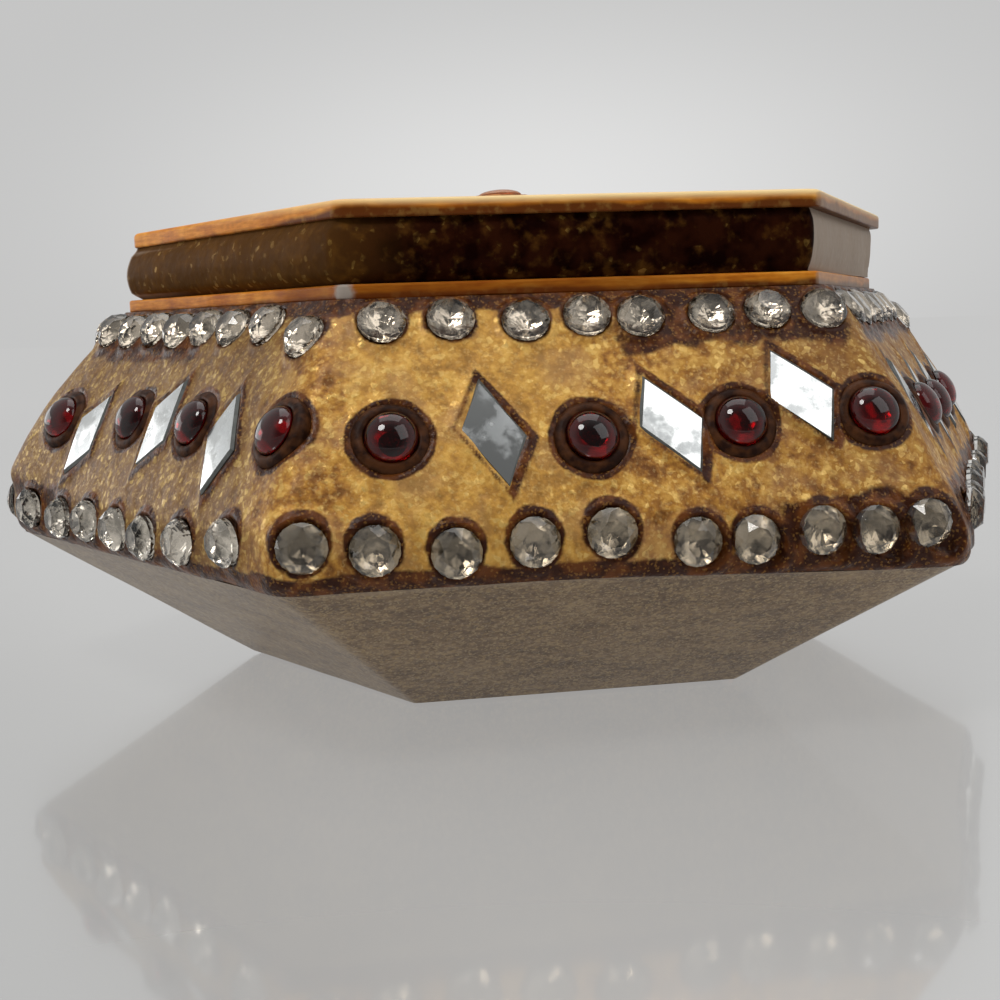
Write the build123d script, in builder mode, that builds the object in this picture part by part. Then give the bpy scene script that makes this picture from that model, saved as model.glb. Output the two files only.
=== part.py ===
from build123d import *
import math
import os

# A six-sided trinket box with a lift-off lid, set with stones and mirrors in lac.
# The origin is on the table under the middle of the foot. Corners lie on the X axis
# and the front side faces -Y. All sizes are in millimetres.

# Finished outline, from the axis to a corner
base_radius = 27.6
waist_radius = 50.0
rim_radius = 37.8
lid_plate_radius = 37.8
lid_side_radius = 37.4

# Heights above the table
waist_height = 14.2
rim_height = 35.3

# Board and plates
base_thickness = 2.0
board_thickness = 1.8
rim_thickness = 1.0
lid_plate_thickness = 1.4
lid_board_thickness = 1.5
lid_side_height = 4.8
mitre_gap = 0.1

# Lac and paint
paint_thickness = 0.4
paint_foot = 0.2
lac_thickness = 1.4
waist_swell = 2.0
rim_swell = 1.4
waist_band_height = 4.1
rim_band_height = 5.0
edge_roll = 0.5
lac_corner = 1.5
lid_lac_thickness = 0.8
lid_lac_swell = 0.65
lid_lac_corner = 1.5
lid_field_thickness = 0.3
lid_field_margin = 5.0

# Collar in the mouth
collar_thickness = 1.2
collar_corner = 1.5
collar_above_rim = 3.2
collar_below_rim = 2.2
collar_fit = 0.05

# How the loose lid lies on the rim
lid_play = 1.3
lid_gap = 0.3
lid_shift = (0.7, -0.1)
lid_turn = -1.3

# Round clear stones
stone_sides = 8
stone_width = 3.8
stone_girdle = 0.5
stone_height = 1.5
stone_table = 0.55
low_stone_height = 1.1
small_stone_width = 3.0
small_stone_height = 0.7
rim_row_gap = 0.6
stone_spacing = 0.1

# Rubies and their lac pads
ruby_width = 4.0
ruby_height = 1.2
round_sides = 12
dome_rings = 3
dome_end = math.radians(75)
pad_width = 5.8
pad_sink = 0.6
pad_rise = 0.4
pad_lip = 0.15

# Diamond mirrors
mirror_length = 9.0
mirror_width = 5.1
mirror_thickness = 1.0
mirror_sink = 0.6
mirror_bevel = 0.2

# Lid ornament, placed by distance from its middle
lid_mirror_count = 6
lid_mirror_distance = 11.0
lid_stone_distance = 14.5
lid_ring_count = 18
lid_ring_distance = 19.6
boss_width = 8.4
boss_top_width = 5.8
boss_height = 2.8
boss_ruby_width = 4.4
boss_ruby_height = 0.8
boss_shift = (-1.9, 0.0)

# Where stones are set on a side: a share of its half width, and a lift up the slope in
# millimetres. The work is set by hand, so spaces differ, and a few patterns take turns
# round the box.
waist_spots = (
    (
        (-0.92, 1.0), (-0.72, 0.5), (-0.49, 0.0), (-0.265, 0.45), (-0.04, 0.8),
        (0.21, -0.2), (0.385, -0.3), (0.59, 0.1), (0.755, -0.1), (0.92, 0.2),
    ),
    (
        (-0.77, 0.2), (-0.49, -0.1), (-0.255, 0.15), (-0.02, 0.0), (0.195, -0.2),
        (0.45, 0.1), (0.74, 0.8),
    ),
)
rim_spots = (
    (
        (-0.795, 0.05), (-0.54, 0.15), (-0.26, -0.25), (-0.025, 0.1), (0.18, -0.15),
        (0.455, -0.15), (0.68, 0.0), (0.905, -0.1),
    ),
    (
        (-0.845, 0.1), (-0.62, -0.1), (-0.40, 0.05), (-0.17, -0.15), (0.065, 0.0),
        (0.305, -0.1), (0.565, 0.1), (0.885, -1.1),
    ),
)
ruby_spots = (
    ((-0.70, 0.4), (-0.07, -0.2), (0.42, -0.4), (0.873, 0.4)),
    ((-0.51, 0.3), (-0.01, -0.1), (0.49, 0.2)),
    ((-0.73, 0.2), (-0.16, 0.5), (0.325, 0.5), (0.885, 0.8)),
)

# Each mirror also leans by an angle, with its top to the left where that is positive
mirror_spots = (
    ((-0.38, 0.2, 9), (0.195, -0.3, 22), (0.645, 1.8, 24)),
    ((-0.76, 0.9, 8), (-0.26, 0.4, -4), (0.24, 0.8, 6), (0.74, 0.2, -6)),
    ((-0.50, -1.1, -20), (0.074, 0.4, -18), (0.56, -0.4, 4)),
)

side_count = 6
side_turn = 360 / side_count
side_facings = [270 + index * side_turn for index in range(side_count)]


def flat_radius(corner_radius):
    """Distance from the axis to the middle of a side."""
    return corner_radius * math.cos(math.pi / side_count)


def half_side(side_distance):
    """Half the width of a side that lies this far from the axis."""
    return side_distance * math.tan(math.pi / side_count)


def level_width(thickness, run, rise):
    """Width, cut level, of a sheet that leans out by run over rise."""
    return thickness * math.hypot(run, rise) / rise


def tapered(low, high, sides, corner):
    """Solid between two level polygons, drawn up from the wider one."""
    rise = high[0] - low[0]
    narrowing = math.degrees(math.atan2(abs(low[1] - high[1]), rise))
    widens = high[1] > low[1]
    with BuildPart() as solid:
        with BuildSketch():
            RegularPolygon(max(low[1], high[1]), sides, major_radius=False)
        extrude(amount=rise, taper=narrowing)
        if corner:
            fillet(edges().filter_by(lambda edge: abs(edge.tangent_at(0.5).Z) > 0.1), corner)
        if widens:
            mirror(about=Plane.XY, mode=Mode.REPLACE)
    return solid.part.moved(Location((0, 0, high[0] if widens else low[0])))


def stacked(levels, sides=side_count, corner=0.0, frame=Plane.XY):
    """Solid through level polygons, each given by its height and its side's distance."""
    with BuildPart() as solid:
        for low, high in zip(levels, levels[1:]):
            add(tapered(low, high, sides, corner))
    return solid.part.moved(frame.location)


def one_sixth(reach, height):
    """Wedge that parts one panel from the next along the mitres."""
    near = mitre_gap * math.cos(math.radians(side_turn / 2))
    middle = mitre_gap * math.sin(math.radians(side_turn / 2))
    far_x = near + reach * math.cos(math.radians(side_turn))
    far_y = middle + reach * math.sin(math.radians(side_turn))
    with BuildPart() as wedge:
        with BuildSketch():
            with BuildLine():
                Polyline((near, middle), (near + reach, middle), (far_x, far_y), close=True)
            make_face()
        extrude(amount=height)
    return wedge.part


def side_plane(facing, low, high):
    """Plane on a sloped side between two levels, X along the side and Y up the slope."""
    outward = Vector(1, 0, 0).rotate(Axis.Z, facing)
    along = Vector(0, 1, 0).rotate(Axis.Z, facing)
    foot = outward * low[1] + Vector(0, 0, low[0])
    head = outward * high[1] + Vector(0, 0, high[0])
    return Plane(origin=(foot + head) * 0.5, x_dir=along, z_dir=along.cross(head - foot))


def slope_length(low, high):
    """Distance up a sloped side between two levels."""
    return math.hypot(high[0] - low[0], high[1] - low[1])


def spaced(spots, half_width, width):
    """Spots along a side, leaving out a stone that would meet the one before it."""
    kept = []
    for share, lift in spots:
        along = share * half_width
        if not kept or along - kept[-1][0] >= width + stone_spacing:
            kept.append((along, lift))
    return kept


def stone_row(patterns, low, high, lift):
    """Places of a row of clear stones all round the box."""
    places = []
    middle_distance = (low[1] + high[1]) / 2
    for index, facing in enumerate(side_facings):
        plane = side_plane(facing, low, high)
        spots = patterns[index % len(patterns)]
        for along, rise in spaced(spots, half_side(middle_distance), stone_width):
            places.append(plane.location * Location((along, lift + rise, 0)))
    return places


def faceted_stone(width, height, girdle):
    """Flat-backed round stone with a ring of facets up to a flat table."""
    side = width / 2 * math.cos(math.pi / stone_sides)
    return stacked([(0, side), (girdle, side), (height, side * stone_table)], stone_sides)


def domed_stone(width, height):
    """Flat-backed cabochon, as rings of small flats along a quarter of an ellipse."""
    side = width / 2 * math.cos(math.pi / round_sides)
    steps = [dome_end * step / dome_rings for step in range(dome_rings + 1)]
    full_height = height / math.sin(dome_end)
    levels = [(full_height * math.sin(turn), side * math.cos(turn)) for turn in steps]
    return stacked(levels, round_sides)


def copies(piece, places):
    """The same piece at each place."""
    with BuildPart() as group:
        with Locations(*places):
            add(piece)
    return group.part


# Levels and distances that the pieces share

base_flat = flat_radius(base_radius)
waist_flat = flat_radius(waist_radius)
rim_flat = flat_radius(rim_radius)
rim_underside = rim_height - rim_thickness
joint_height = waist_height - edge_roll
under_run = waist_flat - base_flat
shoulder_run = waist_flat - rim_flat
shoulder_rise = rim_height - waist_height


def under_line(height):
    """Distance of the finished underside at a height."""
    return base_flat + under_run * height / waist_height


def shoulder_line(height):
    """Distance at a height of the straight line from waist to rim."""
    return waist_flat - shoulder_run * (height - waist_height) / shoulder_rise


paint_width = level_width(paint_thickness, under_run, waist_height)
lower_board_width = level_width(board_thickness, under_run, waist_height)
lac_width = level_width(lac_thickness, shoulder_run, shoulder_rise)
shoulder_board_width = level_width(board_thickness, shoulder_run, shoulder_rise)

# The lac swells out between the waist and the rim
waist_break = waist_height + waist_band_height
rim_break = rim_underside - rim_band_height
waist_level = (waist_height, waist_flat)
waist_break_level = (waist_break, shoulder_line(waist_break) + waist_swell)
rim_break_level = (rim_break, shoulder_line(rim_break) + rim_swell)
rim_level = (rim_underside, shoulder_line(rim_underside))

# Lid, from the outside in
lid_frame = Plane(
    origin=(lid_shift[0], lid_shift[1], 0),
    x_dir=Vector(1, 0, 0).rotate(Axis.Z, lid_turn),
    z_dir=(0, 0, 1),
)
lid_plate_flat = flat_radius(lid_plate_radius)
lid_side_flat = flat_radius(lid_side_radius)
lid_board_flat = lid_side_flat - lid_lac_thickness
lid_inside_flat = lid_board_flat - lid_board_thickness
lid_foot = rim_height + lid_gap
lid_underside = lid_foot + lid_side_height
lid_top = lid_underside + lid_plate_thickness
collar_flat = lid_inside_flat - lid_play

# Foot and the boards that widen from it

with BuildPart() as base_plate:
    foot_edge = [(height, under_line(height) - paint_width) for height in (0, base_thickness)]
    add(stacked(foot_edge))

lower_outside = stacked(
    [(height, under_line(height) - paint_width) for height in (base_thickness, joint_height)]
)
lower_inside = stacked(
    [
        (height, under_line(height) - paint_width - lower_board_width)
        for height in (base_thickness, joint_height)
    ]
)
with BuildPart() as lower_panel:
    add(lower_outside)
    add(lower_inside, mode=Mode.SUBTRACT)
    add(one_sixth(2 * waist_radius, waist_height), mode=Mode.INTERSECT)

with BuildPart() as lower_panels:
    with PolarLocations(0, side_count):
        add(lower_panel.part)

with BuildPart() as underside_coat:
    add(stacked([(height, under_line(height)) for height in (paint_foot, joint_height)]))
    add(base_plate.part, mode=Mode.SUBTRACT)
    add(lower_outside, mode=Mode.SUBTRACT)

# Boards that draw in from the waist to the rim

shoulder_outside = stacked(
    [(height, shoulder_line(height) - lac_width) for height in (joint_height, rim_underside)]
)
shoulder_inside = stacked(
    [
        (height, shoulder_line(height) - lac_width - shoulder_board_width)
        for height in (joint_height, rim_underside)
    ]
)
with BuildPart() as shoulder_panel:
    add(shoulder_outside)
    add(shoulder_inside, mode=Mode.SUBTRACT)
    add(one_sixth(2 * waist_radius, rim_height), mode=Mode.INTERSECT)

with BuildPart() as shoulder_panels:
    with PolarLocations(0, side_count):
        add(shoulder_panel.part)

# Rubies in their pads, and mirrors, placed on the swelling lac

with BuildPart() as pad:
    pad_side = pad_width / 2 * math.cos(math.pi / round_sides)
    pad_top_side = (ruby_width / 2 + pad_lip) * math.cos(math.pi / round_sides)
    add(stacked([(-pad_sink, pad_side), (0, pad_side), (pad_rise, pad_top_side)], round_sides))

with BuildPart() as diamond:
    with BuildSketch(Plane.XY.offset(-mirror_sink)):
        with BuildLine():
            Polyline(
                (0, mirror_length / 2),
                (-mirror_width / 2, 0),
                (0, -mirror_length / 2),
                (mirror_width / 2, 0),
                close=True,
            )
        make_face()
    extrude(amount=mirror_thickness)
    chamfer(faces().sort_by(Axis.Z)[-1].edges(), mirror_bevel)

pad_places = []
mirror_places = []
coat_half_width = half_side((waist_break_level[1] + rim_break_level[1]) / 2)
for index, facing in enumerate(side_facings):
    side = side_plane(facing, waist_break_level, rim_break_level)
    pads_here = []
    for share, lift in ruby_spots[index % len(ruby_spots)]:
        pads_here.append(side.location * Location((share * coat_half_width, lift, 0)))
    outlines = [pad.part.moved(place) for place in pads_here]
    for share, lift, lean in mirror_spots[index % len(mirror_spots)]:
        spot = (share * coat_half_width, lift, 0)
        place = side.location * Location(spot, (0, 0, lean))
        outline = diamond.part.moved(place)
        if min(outline.distance_to(other) for other in outlines) > stone_spacing / 2:
            mirror_places.append(place)
    pad_places += pads_here

with BuildPart() as ruby_pads:
    add(copies(pad.part, pad_places))

ruby_places = [place * Location((0, 0, pad_rise)) for place in pad_places]
with BuildPart() as rubies:
    add(copies(domed_stone(ruby_width, ruby_height), ruby_places))

with BuildPart() as side_mirrors:
    add(copies(diamond.part, mirror_places))

# Lac over the shoulder, in three bands

with BuildPart() as waist_band:
    add(
        stacked(
            [(joint_height, waist_flat - edge_roll), waist_level, waist_break_level],
            corner=lac_corner,
        )
    )
    add(shoulder_outside, mode=Mode.SUBTRACT)

with BuildPart() as shoulder_coat:
    add(stacked([waist_break_level, rim_break_level], corner=lac_corner))
    add(shoulder_outside, mode=Mode.SUBTRACT)
    add(ruby_pads.part, mode=Mode.SUBTRACT)
    add(side_mirrors.part, mode=Mode.SUBTRACT)

with BuildPart() as rim_band:
    add(stacked([rim_break_level, rim_level], corner=lac_corner))
    add(shoulder_outside, mode=Mode.SUBTRACT)

# Rows of clear stones on the two dark bands

clear_stone = faceted_stone(stone_width, stone_height, stone_girdle)
rim_row_lift = slope_length(rim_break_level, rim_level) / 2 - stone_width / 2 - rim_row_gap

with BuildPart() as waist_stones:
    add(copies(clear_stone, stone_row(waist_spots, waist_level, waist_break_level, 0)))

with BuildPart() as rim_stones:
    add(copies(clear_stone, stone_row(rim_spots, rim_break_level, rim_level, rim_row_lift)))

# Rim plate with the mouth in it, and the collar that keeps the lid in place

with BuildPart() as rim_plate:
    with BuildSketch(Plane.XY.offset(rim_underside)):
        RegularPolygon(rim_flat, side_count, major_radius=False)
        RegularPolygon(
            collar_flat + collar_fit, side_count, major_radius=False, mode=Mode.SUBTRACT
        )
    extrude(amount=rim_thickness)

with BuildPart() as neck_collar:
    with BuildSketch(Plane.XY.offset(rim_underside - collar_below_rim)):
        RegularPolygon(collar_flat, side_count, major_radius=False)
        fillet(vertices(), collar_corner)
        offset(amount=-collar_thickness, mode=Mode.SUBTRACT)
    extrude(amount=collar_below_rim + rim_thickness + collar_above_rim)

# Lid: plate, side strips and their lac

with BuildPart() as lid_plate:
    with BuildSketch(lid_frame.offset(lid_underside)):
        RegularPolygon(lid_plate_flat, side_count, major_radius=False)
    extrude(amount=lid_plate_thickness)

with BuildPart() as lid_strip:
    add(stacked([(lid_foot, lid_board_flat), (lid_underside, lid_board_flat)]))
    add(
        stacked([(lid_foot, lid_inside_flat), (lid_underside, lid_inside_flat)]),
        mode=Mode.SUBTRACT,
    )
    add(one_sixth(2 * lid_side_radius, lid_top), mode=Mode.INTERSECT)

with BuildPart() as lid_side_panels:
    for index in range(side_count):
        with Locations(lid_frame.rotated((0, 0, index * side_turn))):
            add(lid_strip.part)

with BuildPart() as lid_side_coat:
    add(
        stacked(
            [
                (lid_foot, lid_side_flat - lid_lac_swell / 2),
                (lid_foot + lid_side_height / 4, lid_side_flat + lid_lac_swell),
                (lid_underside - lid_side_height / 4, lid_side_flat + lid_lac_swell),
                (lid_underside, lid_side_flat),
            ],
            corner=lid_lac_corner,
            frame=lid_frame,
        )
    )
    add(
        stacked([(lid_foot, lid_board_flat), (lid_underside, lid_board_flat)], frame=lid_frame),
        mode=Mode.SUBTRACT,
    )

# Lid ornament: a boss with a cabochon, a star of mirrors and two rings of stones

boss_frame = Plane(lid_frame.offset(lid_top).location * Location((*boss_shift, 0)))
lid_field_top = lid_frame.offset(lid_top + lid_field_thickness)

with BuildPart() as lid_boss:
    boss_levels = [(0, boss_width / 2), (boss_height, boss_top_width / 2)]
    add(stacked(boss_levels, sides=round_sides, frame=boss_frame))

with BuildPart() as lid_ruby:
    boss_ruby = domed_stone(boss_ruby_width, boss_ruby_height)
    add(copies(boss_ruby, [boss_frame.offset(boss_height).location]))

with BuildPart() as lid_mirrors:
    for index in range(lid_mirror_count):
        turned = lid_frame.offset(lid_top + mirror_sink).rotated(
            (0, 0, index * 360 / lid_mirror_count)
        )
        with Locations(turned.location * Location((0, lid_mirror_distance, 0))):
            add(diamond.part)

with BuildPart() as lid_stones:
    low_stone = faceted_stone(stone_width, low_stone_height, stone_girdle)
    for index in range(lid_mirror_count):
        turned = lid_field_top.rotated((0, 0, (index + 0.5) * 360 / lid_mirror_count))
        with Locations(turned.location * Location((0, lid_stone_distance, 0))):
            add(low_stone)
    small_stone = faceted_stone(small_stone_width, small_stone_height, stone_girdle / 2)
    for index in range(lid_ring_count):
        turned = lid_field_top.rotated((0, 0, index * 360 / lid_ring_count))
        with Locations(turned.location * Location((0, lid_ring_distance, 0))):
            add(small_stone)

with BuildPart() as lid_top_coat:
    with BuildSketch(lid_frame.offset(lid_top)):
        RegularPolygon(lid_plate_flat - lid_field_margin, side_count, major_radius=False)
    extrude(amount=lid_field_thickness)
    add(lid_boss.part, mode=Mode.SUBTRACT)
    add(lid_mirrors.part, mode=Mode.SUBTRACT)

# One file for each kind of piece

pieces = {
    "base_plate": base_plate,
    "lower_panels": lower_panels,
    "underside_coat": underside_coat,
    "shoulder_panels": shoulder_panels,
    "waist_band": waist_band,
    "shoulder_coat": shoulder_coat,
    "rim_band": rim_band,
    "rim_plate": rim_plate,
    "neck_collar": neck_collar,
    "ruby_pads": ruby_pads,
    "rubies": rubies,
    "side_mirrors": side_mirrors,
    "waist_stones": waist_stones,
    "rim_stones": rim_stones,
    "lid_plate": lid_plate,
    "lid_side_panels": lid_side_panels,
    "lid_side_coat": lid_side_coat,
    "lid_top_coat": lid_top_coat,
    "lid_mirrors": lid_mirrors,
    "lid_stones": lid_stones,
    "lid_boss": lid_boss,
    "lid_ruby": lid_ruby,
}
os.makedirs("parts", exist_ok=True)
for name, piece in pieces.items():
    piece.part.label = name
    export_step(piece.part, f"parts/{name}.step")
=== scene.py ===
import math
import random
from collections import namedtuple

import bmesh
import bpy
import numpy as np
from mathutils import Matrix, Vector, noise


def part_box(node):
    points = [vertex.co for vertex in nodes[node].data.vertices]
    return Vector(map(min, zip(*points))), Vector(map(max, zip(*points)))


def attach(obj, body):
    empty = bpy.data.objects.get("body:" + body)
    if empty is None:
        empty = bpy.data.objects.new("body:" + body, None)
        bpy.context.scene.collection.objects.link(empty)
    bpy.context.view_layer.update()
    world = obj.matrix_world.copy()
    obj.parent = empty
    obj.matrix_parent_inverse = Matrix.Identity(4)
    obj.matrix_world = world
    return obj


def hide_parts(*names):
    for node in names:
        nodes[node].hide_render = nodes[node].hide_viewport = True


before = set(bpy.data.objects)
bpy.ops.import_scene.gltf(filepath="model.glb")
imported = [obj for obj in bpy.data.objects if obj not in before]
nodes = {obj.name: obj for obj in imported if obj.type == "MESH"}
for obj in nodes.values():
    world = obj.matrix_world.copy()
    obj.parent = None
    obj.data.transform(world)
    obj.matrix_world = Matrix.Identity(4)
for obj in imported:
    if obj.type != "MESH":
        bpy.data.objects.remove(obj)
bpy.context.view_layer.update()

# Looks for a six-sided lac trinket box. Lengths here are in millimetres in the CAD frame,
# and every mesh is brought to metres when it becomes an object. Angles that tell where a
# side or a corner faces are in degrees from +X.

MM = 0.001
SIDES = 6
ANY_TURN = 6.28
LEFT_CORNER, FRONT_LEFT_CORNER, RIGHT_CORNER = 180, 240, 300
LEFT_SIDE, FRONT, RIGHT_SIDE = 210, 270, 330
chance = random.Random(11)


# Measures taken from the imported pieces

Seat = namedtuple("Seat", "middle axis along reach height")


def box_mm(node):
    low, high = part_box(node)
    return np.array(low) / MM, np.array(high) / MM


def levels_of(node):
    """The levels of a node's foot and head."""
    return [corner[2] for corner in box_mm(node)]


def corners_of(node):
    return [v.co / MM for v in nodes[node].data.vertices]


def side_at(node, level):
    """Distance of a node's sides at one of its levels, read at the front."""
    return max(-p.y for p in corners_of(node) if abs(p.z - level) < 0.02)


def side_of(node, turn=0.0):
    """Distance of a six-sided node's widest sides from its middle."""
    low, high = box_mm(node)
    half = math.pi / SIDES
    return (high[1] - low[1]) / 2 * math.cos(half) / math.cos(half - math.radians(abs(turn)))


def placing(node):
    """A six-sided node's middle, and how many degrees it is turned."""
    low, high = box_mm(node)
    middle = Vector((low + high) / 2)
    far = max((p - middle for p in corners_of(node)), key=lambda p: p.xy.length)
    turn = math.degrees(math.atan2(far.y, far.x)) % 60
    return (middle.x, middle.y), turn - 60 if turn > 30 else turn


def toward(facing):
    """Level direction that looks this way."""
    return Vector((math.cos(math.radians(facing)), math.sin(math.radians(facing)), 0))


def seats(node):
    """For each solid: the middle of its flat back, the way it faces, the way to the back's
    farthest corner, how far that is, and its height."""
    bm = bmesh.new()
    bm.from_mesh(nodes[node].data)
    bmesh.ops.remove_doubles(bm, verts=bm.verts, dist=1e-7)
    found, seen = [], set()
    for first in bm.faces:
        if first in seen:
            continue
        island, queue = [], [first]
        seen.add(first)
        while queue:
            face = queue.pop()
            island.append(face)
            for other in (beside for edge in face.edges for beside in edge.link_faces):
                if other not in seen:
                    seen.add(other)
                    queue.append(other)
        flats = {}
        for face in island:
            key = tuple(round(c, 2) for c in face.normal)
            flats.setdefault(key, []).append(face)
        back = max(flats.values(), key=lambda faces: sum(f.calc_area() for f in faces))
        area = sum(f.calc_area() for f in back)
        middle = sum((f.calc_center_median() * f.calc_area() for f in back), Vector()) / area
        axis = -back[0].normal.normalized()
        far = max((v.co - middle for f in back for v in f.verts), key=lambda c: c.length)
        height = max((v.co - middle).dot(axis) for f in island for v in f.verts)
        along = (far - axis * far.dot(axis)).normalized()
        found.append(Seat(middle / MM, axis, along, far.length / MM, height / MM))
    bm.free()
    return found


def smooth(low, high, value):
    """0 below low, 1 above high, and a soft step between."""
    t = np.clip((value - low) / (high - low), 0, 1)
    return t * t * (3 - 2 * t)


def near_corner(points, facing, width):
    """1 at the corner that faces this way, 0 beyond a width in degrees from it."""
    away = np.degrees(np.arctan2(points[:, 1], points[:, 0])) - facing
    return 1 - smooth(0, width, np.abs((away + 180) % 360 - 180))


def swelled(points):
    """Points of the box, its left corner swelled on the lower half of the shoulder."""
    z = points[:, 2]
    share = near_corner(points, LEFT_CORNER, 16) * smooth(17.2, 20, z) * (1 - smooth(24, 34, z))
    return points - share[:, None] * np.array((swell, 0.0, 0.0))


def drooped(points):
    """Points of the coats, whose edge hangs low and stands out at the right corner."""
    z = points[:, 2]
    corner = near_corner(points, RIGHT_CORNER, droop_width)
    corner *= 1 - smooth(waist_foot, waist_foot + droop_height, z)
    rise = np.clip(z / waist_foot, 0, 1)
    return points + np.stack([0.6 + 1.0 * rise, 0 * z, -0.85 * rise], 1) * corner[:, None]


def lumps(points, size, seed):
    """Unevenness of about this size, from -1 to 1 at each point."""
    shift = Vector((seed * 17.3, seed * 5.1, seed * 9.7))
    flat = [noise.noise(Vector(p) / size + shift) for p in np.reshape(points, (-1, 3))]
    return np.reshape(flat, np.shape(points)[:-1])


waist_foot = levels_of("waist_band")[0]
swell = 1.25
droop_width, droop_height = 38, 6.5

# How far pieces sit up the slope from the CAD model's seats, from left to right
hand_set = {
    "pads": {LEFT_SIDE: (0.7, 0.8, 0.8, 0.35), FRONT: (0.0, 0.0, 0.8, 0.35)},
    "mirrors": {LEFT_SIDE: (0.6, 0.6, 0.4), FRONT: (0.25, 0.95, 0.75)},
}


def set_by_hand(found, kind):
    """Seats from left to right, their length pointing up. Those that the photograph shows
    higher are moved up the slope."""
    found = [seat._replace(along=-seat.along) if seat.along.z < 0 else seat for seat in found]
    found.sort(key=lambda seat: seat.middle.x)
    for facing, rises in hand_set[kind].items():
        chosen = [i for i, seat in enumerate(found) if seat.axis.dot(toward(facing)) > 0.8]
        for index, rise in zip(chosen, rises):
            seat = found[index]
            uphill = (Vector((0, 0, 1)) - seat.axis * seat.axis.z).normalized()
            found[index] = seat._replace(middle=seat.middle + uphill * rise)
    return found


# Meshes

def placed(name, data):
    """A new object of the scene."""
    made = bpy.data.objects.new(name, data)
    bpy.context.scene.collection.objects.link(made)
    return made


class Shape:
    """Vertices and faces in millimetres, which become one mesh object."""

    def __init__(self):
        self.points, self.faces, self.slots, self.smooth = [], [], [], []

    def add(self, points, faces, slot=0, soft=False, place=None):
        start = len(self.points)
        points = [Vector(p) for p in points]
        self.points += [place @ p for p in points] if place else points
        self.faces += [[start + i for i in face] for face in faces]
        self.slots += slot if isinstance(slot, list) else [slot] * len(faces)
        self.smooth += soft if isinstance(soft, list) else [soft] * len(faces)

    def build(self, name, body, materials, replaced, slot, values=None):
        points = np.array(self.points)
        if body == "box":
            points = swelled(points)
        mesh = bpy.data.meshes.new(name)
        mesh.from_pydata((points * MM).tolist(), [], self.faces)
        mesh.polygons.foreach_set("material_index", self.slots)
        mesh.polygons.foreach_set("use_smooth", self.smooth)
        for label, numbers in (values or {}).items():
            layer = mesh.attributes.new(label, "FLOAT", "POINT")
            layer.data.foreach_set("value", np.asarray(numbers, np.float32))
        for material in materials:
            mesh.materials.append(material)
        mesh.validate()
        piece = placed(name, mesh)
        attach(piece, body)
        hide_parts(*replaced)
        return piece


def place_at(seat, spin=0.0, lift=0.0, lean=(0.0, 0.0)):
    """Matrix that sets a piece drawn round +Z on a seat, with Y along it."""
    across = seat.along.cross(seat.axis)
    turn = Matrix((across, seat.along, seat.axis)).transposed().to_4x4()
    tilt = Matrix.Rotation(lean[0], 4, "X") @ Matrix.Rotation(lean[1], 4, "Y")
    return (Matrix.Translation(seat.middle) @ turn @ Matrix.Translation((0, 0, lift))
            @ tilt @ Matrix.Rotation(spin, 4, "Z"))


def any_lean(most):
    return chance.uniform(-most, most), chance.uniform(-most, most)


def turned(profile, steps, wobble):
    """Points and faces of a profile of (radius, height) turned round Z. Radius 0 closes it."""
    points, rings = [], []
    phase = chance.uniform(0, ANY_TURN)
    for radius, height in profile:
        ring = []
        for step in range(steps if radius else 1):
            turn = 2 * math.pi * step / steps
            r = radius * (1 + wobble * math.sin(2 * turn + phase))
            ring.append(len(points))
            points.append((r * math.cos(turn), r * math.sin(turn), height))
        rings.append(ring)
    faces = []
    for lower, upper in zip(rings, rings[1:]):
        for step in range(steps):
            after = (step + 1) % steps
            face = [ring[i % len(ring)] for ring, i in (
                (lower, step), (lower, after), (upper, after), (upper, step))]
            faces.append(list(dict.fromkeys(face)))
    return points, faces


def hexagon(side, corner, steps, turn, shift):
    """Points of a level hexagon with rounded corners, evenly spread on its sides."""
    half = math.pi / SIDES
    shares = (np.arange(steps) + 0.5) / steps * 2 - 1
    local = np.arctan(shares * math.tan(half))
    centre = (side - corner) / math.cos(half)
    straight = math.atan((side - corner) * math.tan(half) / side)
    from_corner = half - np.abs(local)
    inside = np.maximum(corner**2 - (centre * np.sin(from_corner)) ** 2, 0)
    reach = np.where(np.abs(local) <= straight, side / np.cos(local),
                     centre * np.cos(from_corner) + np.sqrt(inside))
    angle = np.concatenate([local + math.radians(FRONT + 60 * i + turn) for i in range(SIDES)])
    reach = np.tile(reach, SIDES)
    return np.stack([reach * np.cos(angle) + shift[0], reach * np.sin(angle) + shift[1]], 1)


def loft(levels, steps, turn=0.0, shift=(0.0, 0.0)):
    """Grid of points through levels of (height, side distance, corner radius)."""
    return np.array([np.insert(hexagon(side, corner, steps, turn, shift), 2, height, 1)
                     for height, side, corner in levels])


def outward(grid):
    """Direction square to the grid's surface at each of its points."""
    around = np.roll(grid, -1, 1) - np.roll(grid, 1, 1)
    normal = np.cross(around, np.gradient(grid, axis=0))
    return normal / np.linalg.norm(normal, axis=2, keepdims=True)


def raised(grid, height, foot, head):
    """A grid raised by a height at each of its points, but kept between two levels."""
    outer = grid + outward(grid) * height[:, :, None]
    outer[:, :, 2] = np.clip(outer[:, :, 2], foot, head)
    return outer


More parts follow.
